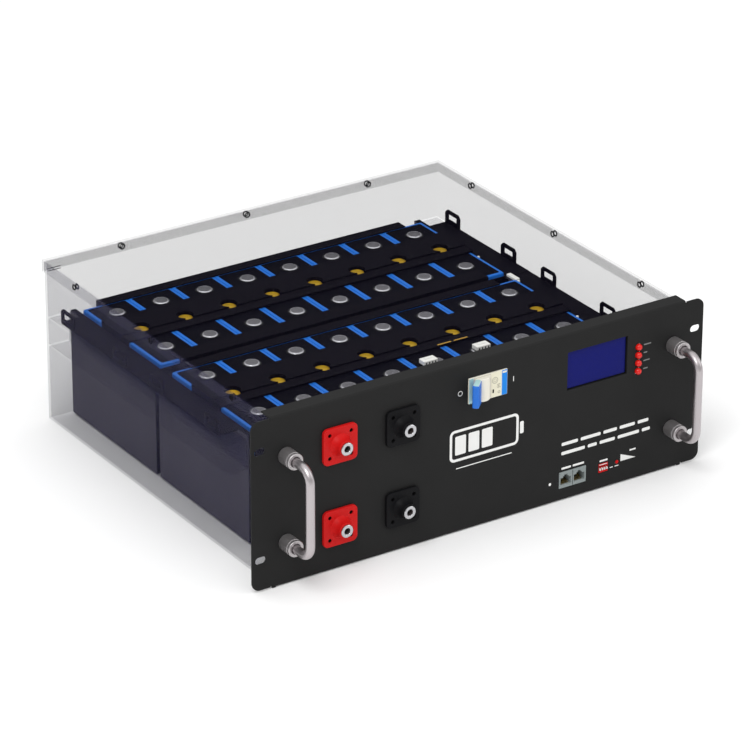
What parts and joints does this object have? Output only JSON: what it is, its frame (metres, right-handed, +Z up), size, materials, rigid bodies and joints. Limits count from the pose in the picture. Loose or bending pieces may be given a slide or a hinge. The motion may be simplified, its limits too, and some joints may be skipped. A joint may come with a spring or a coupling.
{
  "type": "battery pack",
  "caption": "Rack-mounted lithium battery pack: clear case over two cell blocks, black front panel with handles, power terminals, breaker, display and data sockets.",
  "frame": {"origin": "centre of the bottom of the bounding box", "axes": "+X to the right seen from the front, -Y out of the front panel, +Z up"},
  "size_m": [0.4826, 0.4446, 0.165],
  "materials": {
    "clear_sheet": "clear polished sheet with a faint violet-grey tint",
    "panel_paint": "fine-textured black powder coat",
    "handle_metal": "satin anodised bar",
    "ferrule_metal": "satin turned collar",
    "red_plastic": "moulded red nylon, satin",
    "black_plastic": "moulded black nylon, satin",
    "terminal_plating": "tin-plated brass, turned",
    "breaker_plastic": "moulded cream polyamide",
    "toggle_plastic": "moulded blue, glossy",
    "display_glass": "dark blue display glass",
    "circuit_board": "solder-masked board",
    "lamp_plastic": "red epoxy lamp domes",
    "socket_plastic": "moulded grey socket housing",
    "white_plastic": "moulded white nylon",
    "heat_sink_metal": "extruded aluminium",
    "cell_wrap": "blue film shrunk over an aluminium can",
    "end_plate_plastic": "moulded black end plate",
    "insulation_plastic": "black insulating strip"
  },
  "bodies": {
    "pack": {"case_tray": "clear_sheet", "top_cover": "clear_sheet", "front_panel": "panel_paint", "handle_left": "handle_metal", "ferrule_left_upper": "ferrule_metal", "ferrule_left_lower": "ferrule_metal", "handle_right": "handle_metal", "ferrule_right_upper": "ferrule_metal", "ferrule_right_lower": "ferrule_metal", "terminal_block_red_upper": "red_plastic", "terminal_insert_red_upper": "terminal_plating", "terminal_block_red_lower": "red_plastic", "terminal_insert_red_lower": "terminal_plating", "terminal_block_black_upper": "black_plastic", "terminal_insert_black_upper": "terminal_plating", "terminal_block_black_lower": "black_plastic", "terminal_insert_black_lower": "terminal_plating", "breaker_body": "breaker_plastic", "display_glass": "display_glass", "display_board": "circuit_board", "lamp_board": "lamp_plastic", "data_socket": "socket_plastic", "dip_switch": "red_plastic", "interface_board": "circuit_board", "manager_board": "circuit_board", "manager_heat_sink": "heat_sink_metal", "sense_plug_1": "white_plastic", "sense_plug_2": "white_plastic", "cell_1_1": "cell_wrap", "cell_1_2": "cell_wrap", "cell_1_3": "cell_wrap", "cell_1_4": "cell_wrap", "cell_1_5": "cell_wrap", "cell_1_6": "cell_wrap", "cell_1_7": "cell_wrap", "cell_1_8": "cell_wrap", "end_plate_1_left": "end_plate_plastic", "end_plate_1_right": "end_plate_plastic", "rear_strip_1": "insulation_plastic", "front_strip_1": "insulation_plastic", "vent_strip_1": "insulation_plastic", "cell_2_1": "cell_wrap", "cell_2_2": "cell_wrap", "cell_2_3": "cell_wrap", "cell_2_4": "cell_wrap", "cell_2_5": "cell_wrap", "cell_2_6": "cell_wrap", "cell_2_7": "cell_wrap", "cell_2_8": "cell_wrap", "end_plate_2_left": "end_plate_plastic", "end_plate_2_right": "end_plate_plastic", "rear_strip_2": "insulation_plastic", "front_strip_2": "insulation_plastic", "vent_strip_2": "insulation_plastic"},
    "breaker_toggle": {"breaker_toggle": "toggle_plastic"},
    "dip_lever_1": {"dip_lever_1": "white_plastic"},
    "dip_lever_2": {"dip_lever_2": "white_plastic"},
    "dip_lever_3": {"dip_lever_3": "white_plastic"},
    "dip_lever_4": {"dip_lever_4": "white_plastic"},
    "reset_button": {"reset_button": "red_plastic"}
  },
  "joints": [
    {"name": "breaker_switch", "type": "hinge", "parent": "pack", "child": "breaker_toggle", "pos_m": [-0.0025, -0.1757, 0.1365], "axis": [0, 0, 1], "range_deg": [0, 90]},
    {"name": "dip_lever_1_slide", "type": "slide", "parent": "pack", "child": "dip_lever_1", "axis": [0, 0, 1], "range_m": [0, 0.002]},
    {"name": "dip_lever_2_slide", "type": "slide", "parent": "pack", "child": "dip_lever_2", "axis": [0, 0, 1], "range_m": [0, 0.002]},
    {"name": "dip_lever_3_slide", "type": "slide", "parent": "pack", "child": "dip_lever_3", "axis": [0, 0, 1], "range_m": [0, 0.002]},
    {"name": "dip_lever_4_slide", "type": "slide", "parent": "pack", "child": "dip_lever_4", "axis": [0, 0, 1], "range_m": [0, 0.002]},
    {"name": "reset_press", "type": "slide", "parent": "pack", "child": "reset_button", "axis": [0, 1, 0], "range_m": [0, 0.0006], "stiffness_N_per_m": 300}
  ]
}
